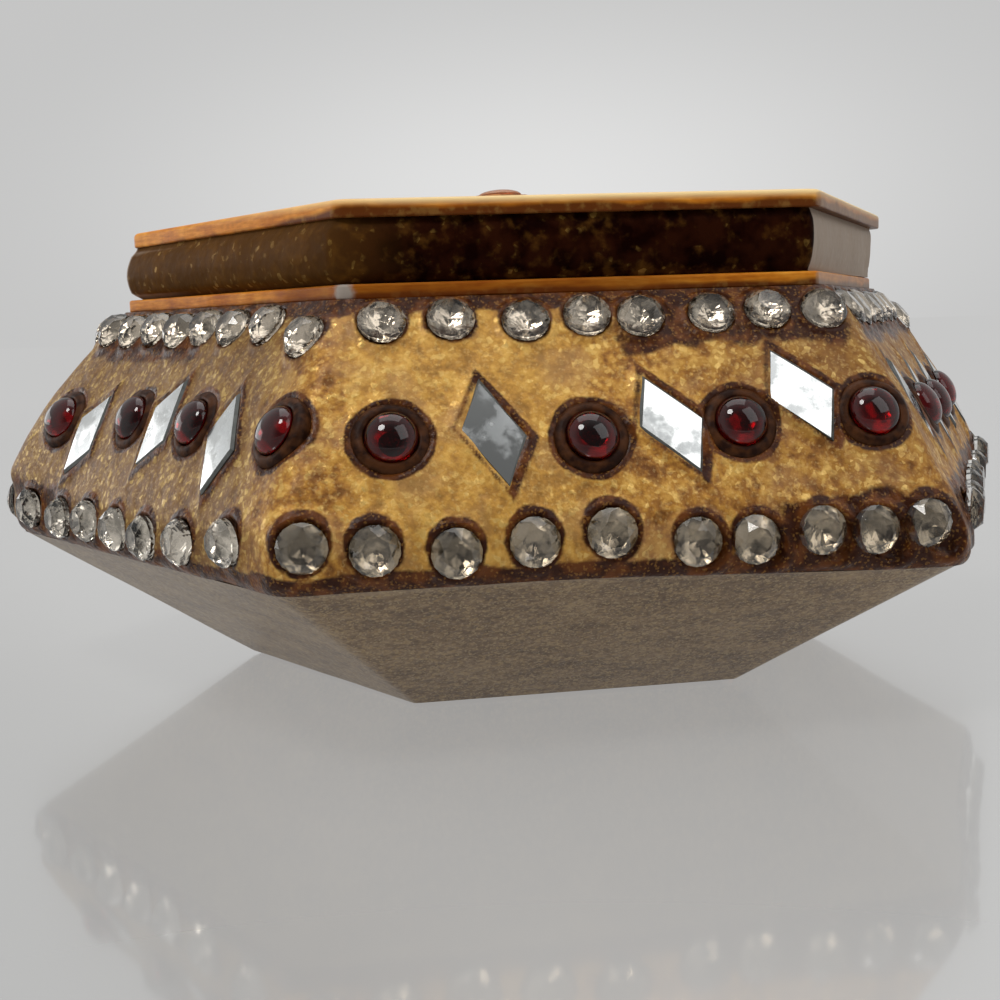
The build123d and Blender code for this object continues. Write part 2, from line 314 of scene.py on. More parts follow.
def between(knots, spacing):
    """Evenly spaced levels along a smooth curve through knots of (height, side)."""
    heights, sides = np.array(knots).T
    slopes = np.gradient(sides, heights)
    t = np.linspace(0, 1, 40, endpoint=False)
    dense = []
    for i, span in enumerate(np.diff(heights)):
        a, b = 2 * t**3 - 3 * t**2 + 1, t**3 - 2 * t**2 + t
        c, d = -2 * t**3 + 3 * t**2, t**3 - t**2
        side = a * sides[i] + b * span * slopes[i] + c * sides[i + 1] + d * span * slopes[i + 1]
        dense.append(np.stack([heights[i] + t * span, side], 1))
    dense = np.concatenate([*dense, [(heights[-1], sides[-1])]])
    run = np.concatenate([[0], np.cumsum(np.hypot(*np.diff(dense, axis=0).T))])
    marks = np.linspace(0, run[-1], max(2, int(round(run[-1] / spacing)) + 1))
    return np.stack([np.interp(marks, run, column) for column in dense.T], 1)


def strip_faces(rows, around):
    """Faces of a closed band of points, in rows from low to high."""
    return [(i * around + j, i * around + (j + 1) % around,
             (i + 1) * around + (j + 1) % around, (i + 1) * around + j)
            for i in range(rows - 1) for j in range(around)]


def capped(grid, name, body, material, node, slot, soft_top=False):
    """Solid between the first and the last level of a grid."""
    rows, around = grid.shape[:2]
    faces = strip_faces(rows, around)
    soft = [True] * len(faces) + [soft_top, False]
    faces += [tuple(range((rows - 1) * around, rows * around)), tuple(range(around))[::-1]]
    shape = Shape()
    shape.add(grid.reshape(-1, 3), faces, 0, soft)
    shape.build(name, body, [material], [node], slot)


def shell(outer, inner, name, body, materials, replaced, slot, values=None, droops=False):
    """Closed ring with a finely drawn outer face and a plain inner face."""
    rows, around = outer.shape[:2]
    count, back = rows * around, len(inner)
    faces = strip_faces(rows, around)
    faces += [tuple(count + i for i in face[::-1]) for face in strip_faces(back, around)]
    soft = [True] * len(faces)
    top, inner_top = (rows - 1) * around, count + (back - 1) * around
    for j in range(around):
        k = (j + 1) % around
        faces.append((top + j, top + k, inner_top + k, inner_top + j))
        faces.append((k, j, count + j, count + k))
        soft += [False, False]
    points = np.concatenate([outer.reshape(-1, 3), inner.reshape(-1, 3)])
    shape = Shape()
    shape.add(drooped(points) if droops else points, faces, 0, soft)
    if values:
        values = {label: np.concatenate([v.reshape(-1), np.zeros(back * around)])
                  for label, v in values.items()}
    piece = shape.build(name, body, materials, replaced, slot, values)
    rim = set(range(around)) | set(range(top, top + around))
    flags = [rim.issuperset(edge.vertices) for edge in piece.data.edges]
    layer = piece.data.attributes.new("sharp_edge", "BOOLEAN", "EDGE")
    layer.data.foreach_set("value", flags)


# Materials

class Nodes:
    """Short words for the nodes of a material or a world. Most return a socket."""

    def __init__(self, owner):
        owner.use_nodes = True
        self.owner, self.tree = owner, owner.node_tree

    def feed(self, socket, value):
        if isinstance(value, bpy.types.NodeSocket):
            self.tree.links.new(value, socket)
        elif isinstance(value, tuple) and len(value) == 3 and socket.type == "RGBA":
            socket.default_value = (*value, 1)
        else:
            socket.default_value = value

    def fill(self, node, inputs):
        for name, value in inputs.items():
            self.feed(node.inputs[name.replace("_", " ")], value)
        return node

    def node(self, kind, **inputs):
        return self.fill(self.tree.nodes.new("ShaderNode" + kind), inputs)

    def operate(self, kind, operation, values):
        made = self.node(kind)
        made.operation = operation
        for socket, value in zip(made.inputs, values):
            self.feed(socket, value)
        return made

    def math(self, operation, *values):
        return self.operate("Math", operation, values).outputs[0]

    def times(self, a, b):
        return self.math("MULTIPLY", a, b)

    def blend(self, *parts):
        """Sum of values, each times its share, from pairs of (value, share)."""
        total = 0.0
        for value, share in parts:
            total = self.math("MULTIPLY_ADD", value, share, total)
        return total

    def vector(self, operation, *values, scale=None):
        made = self.operate("VectorMath", operation, values)
        if scale is not None:
            self.feed(made.inputs["Scale"], scale)
        single = operation in ("LENGTH", "DISTANCE", "DOT_PRODUCT")
        return made.outputs["Value" if single else "Vector"]

    def step(self, value, low, high, to_low=0.0, to_high=1.0):
        """A soft step from one number to another between two values."""
        made = self.node("MapRange", Value=value, From_Min=low, From_Max=high,
                         To_Min=to_low, To_Max=to_high)
        made.interpolation_type = "SMOOTHSTEP"
        return made.outputs[0]

    def shaders(self, share, a, b):
        made = self.node("MixShader", Fac=share)
        self.feed(made.inputs[1], a)
        self.feed(made.inputs[2], b)
        return made.outputs[0]


class Tree(Nodes):
    """The nodes of a new material. Its textures are measured in millimetres."""

    def __init__(self, name):
        super().__init__(bpy.data.materials.new(name))
        self.shader = self.tree.nodes["Principled BSDF"]
        place = self.node("TexCoord").outputs["Object"]
        self.place = self.vector("SCALE", place, scale=1 / MM)

    def axes(self):
        return self.node("SeparateXYZ", Vector=self.place).outputs

    def normal(self):
        return self.node("NewGeometry").outputs["Normal"]

    def noise(self, scale, detail=2.0, rough=0.5, place=None):
        made = self.node("TexNoise", Vector=place or self.place, Scale=scale, Detail=detail,
                         Roughness=rough)
        return made.outputs["Fac"]

    def cells(self, scale, output="Color"):
        return self.node("TexVoronoi", Vector=self.place, Scale=scale).outputs[output]

    def channel(self, colour, index):
        return self.node("SeparateColor", Color=colour).outputs[index]

    def mix(self, share, a, b):
        made = self.node("Mix")
        made.data_type = "RGBA"
        sockets = {s.identifier: s for s in (*made.inputs, *made.outputs)}
        for name, value in (("Factor_Float", share), ("A_Color", a), ("B_Color", b)):
            self.feed(sockets[name], value)
        return sockets["Result_Color"]

    def tint(self, colour, over, share, most):
        """A colour with another laid over it, by a share of the most it may be."""
        return self.mix(self.times(share, most), colour, over)

    def ramp(self, value, *stops):
        made = self.node("ValToRGB", Fac=value)
        elements = made.color_ramp.elements
        while len(elements) < len(stops):
            elements.new(0.5)
        for element, (place, colour) in zip(elements, stops):
            element.position = place
            element.color = (*colour, 1)
        return made.outputs["Color"]

    def attribute(self, name):
        made = self.node("Attribute")
        made.attribute_name = name
        return made.outputs["Fac"]

    def sparkle(self, cell, amount):
        """The surface's normal, tipped at random from flake to flake."""
        tip = self.vector("SUBTRACT", cell, (0.5, 0.5, 0.5))
        tip = self.vector("SCALE", tip, scale=amount)
        return self.vector("NORMALIZE", self.vector("ADD", self.normal(), tip))

    def bump(self, height, distance, strength=1.0, normal=None):
        made = self.node("Bump", Height=height, Strength=strength, Distance=distance * MM)
        if normal is not None:
            self.feed(made.inputs["Normal"], normal)
        return made.outputs[0]

    def finish(self, colour, **values):
        self.fill(self.shader, {"Base_Color": colour, **values})
        return self.owner


def gold_lac(name, dark_value=None):
    """Mustard lac full of gold glitter, mottled with bronze, over dark red-brown lac."""
    t = Tree(name)
    patch = t.noise(0.4, 3, 0.55)
    blotch = t.noise(0.95, 3, 0.55)
    grain = t.noise(2.4, 2, 0.5)
    cell = t.cells(2.7)
    fine = t.cells(6.0)
    tone = t.blend((patch, 0.4), (blotch, 0.42), (grain, 0.18))
    body = t.ramp(tone, (0.39, (0.18, 0.065, 0.013)), (0.46, (0.355, 0.152, 0.03)),
                  (0.52, (0.54, 0.262, 0.047)), (0.6, (0.74, 0.425, 0.098)))
    rosy = t.step(t.noise(0.21, 3, 0.5), 0.5, 0.62)
    body = t.tint(body, (0.42, 0.225, 0.105), rosy, 0.45)
    if dark_value:
        x, y, z = t.axes()
        # The sides toward the left are darkened to a dull brown: painted shade.
        across = t.blend((x, 0.866), (y, -0.5))
        dull = t.step(across, -7, 1, 1, 0)
        body = t.tint(body, (0.15, 0.085, 0.04), dull, 0.72)
        # The front's right part is darkened, more toward the top of the shoulder: painted shade.
        thin = t.times(t.step(x, 2, 20), t.step(z, 18, 29, 0.35, 1.0))
        body = t.tint(body, (0.21, 0.09, 0.02), thin, 0.7)
        # A band on the front's left half is brightened toward yellow gold: painted light.
        painted_light_left_front = t.times(t.step(x, -21, -17), t.step(x, -5, 1, 1, 0))
        body = t.tint(body, (0.88, 0.52, 0.12), painted_light_left_front, 0.24)
    flake = t.step(t.channel(cell, 0), 0.62, 1.0)
    flake = t.times(flake, t.step(tone, 0.42, 0.56, 0.15, 1.0))
    dust = t.step(t.channel(fine, 1), 0.8, 0.95)
    colour = t.tint(body, (0.98, 0.7, 0.24), flake, 0.45)
    colour = t.tint(colour, (0.98, 0.72, 0.3), dust, 0.16)
    metal = t.math("MULTIPLY_ADD", flake, 0.42, 0.1)
    rough = t.math("MULTIPLY_ADD", flake, -0.14, 0.48)
    if dark_value:
        ragged = t.math("MULTIPLY_ADD", t.noise(1.1, 3, 0.6), 0.7, -0.35)
        dark = t.step(t.math("ADD", t.attribute(dark_value), ragged), 0.3, 0.72)
        glaze = t.mix(t.step(t.noise(0.7, 3), 0.42, 0.66), (0.04, 0.01, 0.003),
                      (0.145, 0.043, 0.008))
        glaze = t.tint(glaze, (0.45, 0.22, 0.05), dust, 0.35)
        colour = t.mix(dark, colour, glaze)
        metal = t.times(metal, t.math("MULTIPLY_ADD", dark, -0.95, 1.0))
        rough = t.math("MULTIPLY_ADD", dark, -0.12, rough)
    normal = t.bump(blotch, 0.3, 0.5, t.bump(grain, 0.12, 0.4, t.sparkle(cell, 0.15)))
    return t.finish(colour, Metallic=metal, Roughness=rough, Normal=normal,
                    Specular_IOR_Level=0.16, Coat_Weight=0.05, Coat_Roughness=0.2)


def brown_lac(low, high):
    """Nearly black red-brown lac with drifts of gold glitter, more of them along the foot. Its
    left is made lighter, with more drifts, as painted light, and a pale painted sheen is
    mixed in where it is seen at a slant."""
    t = Tree("brown_lac")
    x, y, z = t.axes()
    blot = t.noise(0.95, 3, 0.5)
    cell = t.cells(2.4)
    body = t.ramp(t.noise(0.5, 3), (0.38, (0.007, 0.001, 0.0005)), (0.6, (0.026, 0.006, 0.002)))
    # The left is tinted lighter and gets more glitter drifts: painted light.
    left = t.step(x, -24, -12, 1, 0)
    foot = t.step(z, low, (low + high) / 2, 1, 0)
    body = t.tint(body, (0.11, 0.048, 0.0115), left, 0.85)
    wealth = t.blend((t.noise(0.26, 3, 0.55), 0.45), (blot, 0.55), (left, 0.07), (foot, 0.04))
    patch = t.step(wealth, 0.5, 0.74)
    flake = t.times(t.step(t.channel(cell, 0), 0.84, 0.97), patch)
    colour = t.tint(body, (0.15, 0.063, 0.011), patch, 0.7)
    colour = t.tint(colour, (0.7, 0.44, 0.11), flake, 0.35)
    # A pale colour is mixed in where the surface is seen at a slant: painted sheen.
    slant = t.node("LayerWeight", Blend=0.5).outputs["Facing"]
    colour = t.mix(t.step(slant, 0.7, 0.82, 0.0, 0.85), colour, (0.45, 0.36, 0.285))
    normal = t.bump(blot, 0.14, 0.4, t.sparkle(cell, 0.05))
    return t.finish(colour, Metallic=t.times(flake, 0.5), Roughness=0.4,
                    Normal=normal, Specular_IOR_Level=0.01)


def orange_lacquer(name, low_edge=None, painted_shade_rise=0.0, high_edge=None, chip=None):
    """Orange lacquer of uneven tone. Brown lac has crept over its lower edge, further up
    on the front than on the left, where the extra rise is painted shade. A painted
    highlight makes its upper edge paler, a painted sheen pales its right side, and a
    corner may be chipped, with painted shade darkening the front."""
    t = Tree(name)
    cloud = t.noise(0.18, 4, 0.6)
    brushed = t.vector("MULTIPLY", t.place, (0.5, 0.5, 4.0))
    tone = t.blend((cloud, 0.6), (t.noise(0.9, 3, 0.6, brushed), 0.4))
    colour = t.ramp(tone, (0.38, (0.48, 0.13, 0.01)), (0.5, (0.7, 0.235, 0.018)),
                    (0.62, (0.9, 0.37, 0.042)))
    x, y, z = t.axes()
    normal = t.normal()
    if high_edge:
        # The front and right of the upper edge, not its flat top, is paled: painted highlight.
        painted_highlight = t.times(t.step(z, high_edge - 0.75, high_edge - 0.05), t.step(x, -34, -10))
        flat = t.vector("DOT_PRODUCT", normal, (0, 0, 1))
        painted_highlight = t.times(painted_highlight, t.step(flat, 0.93, 1.0, 1, 0))
        colour = t.tint(colour, (1.0, 0.76, 0.38), painted_highlight, 0.95)
    if low_edge:
        # The crept lac is real; its extra rise on the front, by a set amount, is painted shade.
        level = t.blend((t.step(x, -27, -17), painted_shade_rise), (t.noise(0.2, 3, 0.5), 1.1))
        over = t.math("SUBTRACT", z, t.math("ADD", level, low_edge - 0.55))
        gilt = t.step(t.noise(1.0, 3, 0.55), 0.48, 0.66)
        lac = t.mix(gilt, (0.145, 0.038, 0.006), (0.24, 0.105, 0.024))
        colour = t.mix(t.step(over, -0.26, 0.22, 1, 0), colour, lac)
        # Faces that look to the right are paled toward beige: painted sheen.
        painted_sheen_right = t.vector("DOT_PRODUCT", normal, toward(RIGHT_SIDE))
        colour = t.mix(t.step(painted_sheen_right, 0.7, 0.92, 0.0, 0.5), colour, (0.4, 0.275, 0.19))
    if chip:
        # The front of the rim is darkened: painted shade.
        painted_shade_front = t.times(t.step(x, -25, -22), t.step(x, 4, 13, 1, 0))
        colour = t.tint(colour, (0.2, 0.045, 0.004), painted_shade_front, 0.6)
        away = t.blend((t.vector("DISTANCE", t.place, chip), 1.0), (t.noise(1.4, 2), 1.4))
        colour = t.mix(t.step(away, 1.2, 2.1, 1, 0), colour, (0.42, 0.36, 0.31))
    return t.finish(colour, Roughness=0.36, Normal=t.bump(t.noise(0.5, 4, 0.55), 0.1, 0.35),
                    Specular_IOR_Level=0.06, Coat_Weight=0.03, Coat_Roughness=0.1)


def underside_paint():
    """Thin grey-brown glitter paint with the streaks of a wide brush."""
    t = Tree("underside_paint")
    streak = t.noise(0.45, 4, 0.6, t.vector("MULTIPLY", t.place, (0.35, 0.35, 1.6)))
    grain = t.noise(1.7, 3, 0.65)
    cell = t.cells(3.4)
    tone = t.blend((streak, 0.5), (grain, 0.5))
    body = t.ramp(tone, (0.38, (0.098, 0.05, 0.018)), (0.5, (0.18, 0.106, 0.045)),
                  (0.62, (0.27, 0.176, 0.086)))
    flake = t.step(t.channel(cell, 0), 0.66, 0.92)
    dust = t.step(t.channel(t.cells(7.0), 2), 0.8, 0.92)
    colour = t.tint(body, (0.5, 0.35, 0.16), flake, 0.35)
    colour = t.tint(colour, (0.54, 0.42, 0.22), dust, 0.35)
    normal = t.bump(grain, 0.1, 0.5, t.sparkle(cell, 0.12))
    return t.finish(colour, Metallic=t.times(flake, 0.35), Roughness=0.42, Normal=normal,
                    Specular_IOR_Level=0.35, Coat_Weight=0.3, Coat_Roughness=0.26)


def pad_lac(name, deep, bright, lip_colour):
    """Dark lac pressed up round a cabochon, thinner and more orange at its lip."""
    t = Tree(name)
    tone = t.noise(1.0, 3)
    body = t.ramp(tone, (0.38, deep), (0.62, bright))
    colour = t.tint(body, lip_colour, t.attribute("lip"), t.step(tone, 0.42, 0.6, 0.1, 0.7))
    return t.finish(colour, Roughness=0.46, Normal=t.bump(t.noise(1.8, 3), 0.14, 0.5),
                    Specular_IOR_Level=0.1)


def stained_board():
    """Thin board with its grain showing through orange stain. The edge that stands on the
    table has been painted over."""
    t = Tree("stained_board")
    along = t.vector("MULTIPLY", t.place, (0.25, 0.25, 1.6))
    tone = t.blend((t.noise(0.9, 5, 0.65, along), 0.7), (t.noise(3.5, 3, 0.7, along), 0.3))
    colour = t.ramp(tone, (0.38, (0.36, 0.105, 0.016)), (0.5, (0.6, 0.21, 0.03)),
                    (0.62, (0.74, 0.31, 0.052)))
    colour = t.mix(t.step(t.axes()[2], 0.1, 0.6, 0.9, 0.0), colour, (0.1, 0.065, 0.032))
    return t.finish(colour, Roughness=0.4, Normal=t.bump(tone, 0.1, 0.4),
                    Coat_Weight=0.3, Coat_Roughness=0.14)


def ruby_glass(name, deep, bright, clarity):
    """Heavy red glass, with faint clouds in it."""
    t = Tree(name)
    colour = t.mix(t.noise(0.9, 2), deep, bright)
    return t.finish(colour, Roughness=0.03, IOR=1.52, Specular_IOR_Level=0.28,
                    Transmission_Weight=clarity)


def clear_glass():
    """Cut glass, a touch warm, with worn facets."""
    t = Tree("clear_glass")
    scuff = t.step(t.noise(1.1, 3, 0.6), 0.48, 0.66, 0.02, 0.1)
    return t.finish((0.94, 0.92, 0.88), Roughness=scuff, IOR=1.54, Transmission_Weight=1.0)


def foil(name, tint, rough, facets):
    """Metal foil pressed over the back facets of a stone, dulled in places."""
    t = Tree(name)
    crease = t.noise(0.6, 2)
    cell = t.cells(1.5)
    dull = tuple(c * 0.45 for c in tint)
    colour = t.mix(t.step(crease, 0.38, 0.62), dull, tint)
    return t.finish(colour, Metallic=1.0, Roughness=rough,
                    Normal=t.bump(crease, 0.12, 0.4, t.sparkle(cell, facets)))


def mirror_glass():
    """Old silvering, clouded in places and pricked with small bubbles."""
    t = Tree("mirror_glass")
    cloud = t.step(t.noise(0.42, 4, 0.6), 0.44, 0.6)
    bubble = t.step(t.cells(1.1, "Distance"), 0.1, 0.17, 1, 0)
    colour = t.mix(cloud, (0.82, 0.84, 0.83), (0.58, 0.6, 0.6))
    colour = t.tint(colour, (0.9, 0.9, 0.89), bubble, 0.1)
    rough = t.blend((cloud, 0.2), (bubble, 0.08), (1.0, 0.07))
    return t.finish(colour, Metallic=1.0, Roughness=rough,
                    Normal=t.bump(t.noise(0.22, 2), 0.04, 0.6))


def mirror_edge():
    """The broken edge of thin glass."""
    t = Tree("mirror_edge")
    colour = t.mix(t.noise(1.6, 3), (0.018, 0.02, 0.018), (0.16, 0.17, 0.16))
    return t.finish(colour, Roughness=0.22, Coat_Weight=0.4, Coat_Roughness=0.08)


lid_foot, lid_head = levels_of("lid_side_coat")
plate_foot, plate_head = levels_of("lid_plate")
rim_foot, rim_head = levels_of("rim_plate")
rim_corner = toward(FRONT_LEFT_CORNER) * box_mm("rim_plate")[1][0]
rim_corner += Vector((0, 0, rim_foot + 0.6))

gold = gold_lac("gold_lac", "dark")
field_gold = gold_lac("gold_lac_field")
brown = brown_lac(lid_foot, lid_head)
rim_orange = orange_lacquer("orange_lacquer_rim", rim_foot + 0.1, 0.35, chip=rim_corner)
lid_orange = orange_lacquer("orange_lacquer_lid", plate_foot + 0.08, 0.62, plate_head)
plain_orange = orange_lacquer("orange_lacquer")
paint = underside_paint()
pads = pad_lac("pad_lac", (0.018, 0.005, 0.002), (0.075, 0.026, 0.008), (0.1, 0.028, 0.007))
boss_lac = pad_lac("boss_lac", (0.14, 0.045, 0.01), (0.32, 0.12, 0.028), (0.6, 0.25, 0.06))
board = stained_board()
ruby = ruby_glass("ruby_glass", (0.055, 0.0002, 0.0016), (0.16, 0.0004, 0.004), 0.98)
rose = ruby_glass("rose_glass", (0.7, 0.3, 0.14), (0.85, 0.42, 0.22), 0.5)
ruby_foil = foil("ruby_foil", (0.92, 0.22, 0.2), 0.16, 0.1)
clear = clear_glass()
silver_foil = foil("silver_foil", (0.64, 0.565, 0.47), 0.14, 0.4)
# A darker copy of the foil for the lower row's stones and a brighter one for its left-hand stones:
# painted shade and painted light.
dull_foil = foil("dull_foil", (0.42, 0.352, 0.262), 0.18, 0.36)
bright_foil = foil("bright_foil", (0.84, 0.78, 0.69), 0.14, 0.5)
silver = mirror_glass()
glass_edge = mirror_edge()

for node in ("base_plate", "lower_panels", "shoulder_panels", "lid_side_panels", "neck_collar"):
    for slot in nodes[node].material_slots:
        slot.material = plain_orange if node == "neck_collar" else board


# Lac over the shoulder

pad_seats = set_by_hand(seats("ruby_pads"), "pads")
dome_seats = set_by_hand(seats("rubies"), "pads")
mirror_seats = set_by_hand(seats("side_mirrors"), "mirrors")
low_seats = seats("waist_stones")
high_seats = seats("rim_stones")
stone_radius = low_seats[0].reach
pad_radius = pad_seats[0].reach
# How deep pads and mirrors are sunk in the lac, and the mirrors' own form
pad_sink = 0.6
mirror_shape = 5.1 / 9.0
mirror_slant = -0.32
dome_rise = 0.08

break_low, break_high = levels_of("shoulder_coat")
rim_top = levels_of("rim_band")[1]
panel_levels = levels_of("shoulder_panels")
panel_sides = [side_at("shoulder_panels", z) for z in panel_levels]
cad_levels = [waist_foot, waist_foot + 0.5, break_low, break_high, rim_top]
cad_sides = [side_at("waist_band", waist_foot), side_of("waist_band"), side_of("shoulder_coat"),
             side_of("rim_band"), side_at("rim_band", rim_top)]

# Knots of the lac's outline, from how far each lies inside the CAD model's side
shoulder_knots = [(level, np.interp(level, cad_levels, cad_sides) - inset) for level, inset in (
    (waist_foot, 0.12), (waist_foot + 0.4, 0.22), (waist_foot + 1.4, 0.04),
    (break_low - 1.4, 0.03), (break_low + 0.1, 0.22), (break_low + 1.8, 0.03),
    (break_high - 1.8, 0.0), (break_high, 0.12), (break_high + 1.8, 0.03), (rim_top, 0.0))]

# Where dark lac runs on behind a row of stones: the side's facing, and from and to along it
low_runs = ((FRONT, 11, 25), (RIGHT_SIDE, -24, 24), (90, -20, -2), (150, 2, 22),
            (LEFT_SIDE, -24, -12))
high_runs = ((FRONT, 1, 20), (RIGHT_SIDE, -19, 19), (90, -12, 8), (LEFT_SIDE, -19, 2))


def near_seat(points, seat, reach):
    """Which points lie near a seat, their height over it and their place on its plane."""
    offset = points - np.array(seat.middle)
    near = np.abs(offset).max(1) < reach
    offset = offset[near]
    rise = offset @ np.array(seat.axis)
    return near, rise, offset - rise[:, None] * np.array(seat.axis)


def relief(grid):
    """How far lac stands up at each point, and how much dark lac shows there."""
    points = grid.reshape(-1, 3)
    x, y, z = points.T
    wander = lumps(points, 2.4, 3)
    height = (0.22 * lumps(points, 12.0, 4) + 0.15 * lumps(points, 5.0, 1)
              + 0.05 * lumps(points, 1.9, 2))
    dark = 1 - smooth(waist_foot + 0.9, waist_foot + 2.1, z + 0.6 * wander)
    dark = np.maximum(dark, smooth(rim_top - 1.9, rim_top - 0.7, z + 0.5 * wander))
    for seat, strength in [(s, 1.0) for s in low_seats] + [(s, 0.85) for s in high_seats]:
        near, rise, flat = near_seat(points, seat, 4.5)
        away = np.linalg.norm(flat, axis=1)
        uphill = flat[:, 2] / np.maximum(away, 0.01)
        width = stone_radius + (0.12 + 0.42 * np.maximum(uphill, -0.2) + 0.2 * wander[near])
        around = strength * (1 - smooth(width - 0.3, width + 0.6, away))
        dark[near] = np.maximum(dark[near], around)
        hug = smooth(stone_radius - 0.35, stone_radius - 0.05, away)
        height[near] += 0.2 * hug * (1 - smooth(stone_radius + 0.1, stone_radius + 0.8, away))
        height[near] += (1 - hug) * smooth(-2, 0, rise) * (-0.7 - rise - height[near])
    low_band = 1 - smooth(break_low - 0.2, break_low + 1.4, z + 0.8 * wander)
    high_band = 0.75 * smooth(break_high - 0.6, break_high + 1.0, z + 0.8 * wander)
    runs = [(*run, low_band) for run in low_runs] + [(*run, high_band) for run in high_runs]
    for facing, start, end, band in runs:
        angle = math.radians(facing)
        out = x * math.cos(angle) + y * math.sin(angle)
        along = -x * math.sin(angle) + y * math.cos(angle)
        on_side = (out > 25) & (np.abs(along) < out * 0.62)
        inside = smooth(start - 2, start + 2, along) * (1 - smooth(end - 1, end + 2, along))
        dark = np.maximum(dark, np.where(on_side, inside * band, 0))
    for seat in pad_seats:
        near, rise, flat = near_seat(points, seat, 5.5)
        away = np.linalg.norm(flat, axis=1) + 0.25 * wander[near]
        height[near] += 0.1 * np.exp(-((away - pad_radius - 0.3) / 0.5) ** 2)
        height[near] -= 0.3 * (1 - smooth(pad_radius - 0.5, pad_radius - 0.1, away))
        edge = 0.95 * (1 - smooth(pad_radius + 0.05, pad_radius + 0.75, away))
        dark[near] = np.maximum(dark[near], edge)
    for seat in mirror_seats:
        near, rise, flat = near_seat(points, seat, 6.5)
        half_x, half_y = seat.reach * mirror_shape, seat.reach
        side = flat @ np.array(seat.along.cross(seat.axis))
        length = flat @ np.array(seat.along) - mirror_slant * side
        away = np.abs(side) / half_x + np.abs(length) / half_y - 1
        away = away * half_x * half_y / math.hypot(half_x, half_y)
        lip = smooth(-0.5, 0.1, away) * (1 - smooth(0.2, 1.1, away))
        height[near] += (0.22 + 0.12 * wander[near]) * lip
        height[near] -= 0.25 * (1 - smooth(-0.9, -0.4, away))
        # A dark line just outside each mirror, heavier on its right side.
        right = smooth(-0.6, 0.6, side)
        line = np.exp(-((away - 0.18) / (0.36 + 0.16 * right)) ** 2)
        dark[near] = np.maximum(dark[near], (0.62 + 0.38 * right) * line)
    return height.reshape(grid.shape[:2]), dark.reshape(grid.shape[:2])


# How finely the lac is drawn: points along each side, and how far apart its levels are
shoulder_steps, shoulder_spacing = 200, 0.22


def shoulder_piece(name, node, low, high, slot):
    """One band of lac, between two levels of the one outline."""
    levels = between(shoulder_knots, shoulder_spacing)
    keep = (levels[:, 0] > low + 0.1) & (levels[:, 0] < high - 0.1)
    sides = np.interp([low, high], levels[:, 0], levels[:, 1])
    levels = np.concatenate([[(low, sides[0])], levels[keep], [(high, sides[1])]])
    grid = loft([(z, side, 2.3) for z, side in levels], shoulder_steps)
    height, dark = relief(grid)
    if high == rim_top:
        height[-1] *= 0.2
    outer = raised(grid, height, low if low == waist_foot else -math.inf, rim_top)
    inner = loft([(z, np.interp(z, panel_levels, panel_sides) + 0.02, 0.3)
                  for z in (low, high)], shoulder_steps)
    shell(outer, inner, name, "box", [gold], [node], slot, {"dark": dark}, True)


shoulder_piece("waist_lac", "waist_band", waist_foot, break_low, "dark_lac")
shoulder_piece("shoulder_lac", "shoulder_coat", break_low, break_high, "gold_lac")
shoulder_piece("rim_lac", "rim_band", break_high, rim_top, "dark_lac")


# Paint under the waist

def underside():
    foot, head = levels_of("underside_coat")
    foot_side, head_side = side_at("underside_coat", foot), box_mm("underside_coat")[1][1]
    levels = [(foot + s * (head - foot), foot_side + s * (head_side - foot_side), 0.5 + 1.5 * s)
              for s in np.linspace(0, 1, 46)]
    grid = loft(levels, 90)
    height = 0.06 * lumps(grid, 7.0, 5) + 0.1 * lumps(grid, 16.0, 6) - 0.1
    inner = loft([(z, side - 0.5, 0.4) for z, side, _ in (levels[0], levels[-1])], 90)
    shell(raised(grid, height, foot, head), inner, "underside_layer", "box", [paint],
          ["underside_coat"], "underside_paint", None, True)


underside()


# Rim plate and lid plate

lid_middle, lid_turn = placing("lid_plate")


def plate(name, node, body, material, corner, rolls, turn, shift, seed, hole=None, lift=0.0):
    """A lacquered board with its edge rolled below and above. A hole makes it a ring."""
    floor, top = levels_of(node)
    top += lift
    low_roll, high_roll = rolls
    side = side_of(node, turn)
    quarter = np.linspace(0, math.pi / 2, 8)
    levels = [(floor + low_roll * (1 - math.cos(t)), side - low_roll * (1 - math.sin(t)), corner)
              for t in quarter]
    levels += [(top - high_roll * (1 - math.sin(t)), side - high_roll * (1 - math.cos(t)), corner)
               for t in quarter]
    outer = loft(levels, 120, turn, shift)
    wave = np.abs(lumps(outer, 9.0, seed)) * 0.18
    outer[:, :, :2] -= wave[:, :, None] * outward(outer)[:, :, :2]
    if hole:
        inner = loft([(z, hole, 0.3) for z in (floor, top)], 120, turn, shift)
        shell(outer, inner, name, body, [material], [node], "orange_lacquer")
    else:
        capped(outer, name, body, material, node, "orange_lacquer")


lid_gap = lid_foot - rim_head
mouth = min(abs(p.y) for p in corners_of("rim_plate") if abs(p.y) > 1)
plate("rim_board", "rim_plate", "box", rim_orange, 0.9, (0.14, 0.24), 0, (0, 0), 7, mouth,
      lid_gap * 0.4)
plate("lid_board", "lid_plate", "lid", lid_orange, 1.4, (0.18, 0.45), lid_turn, lid_middle, 8)


# Lac on the lid

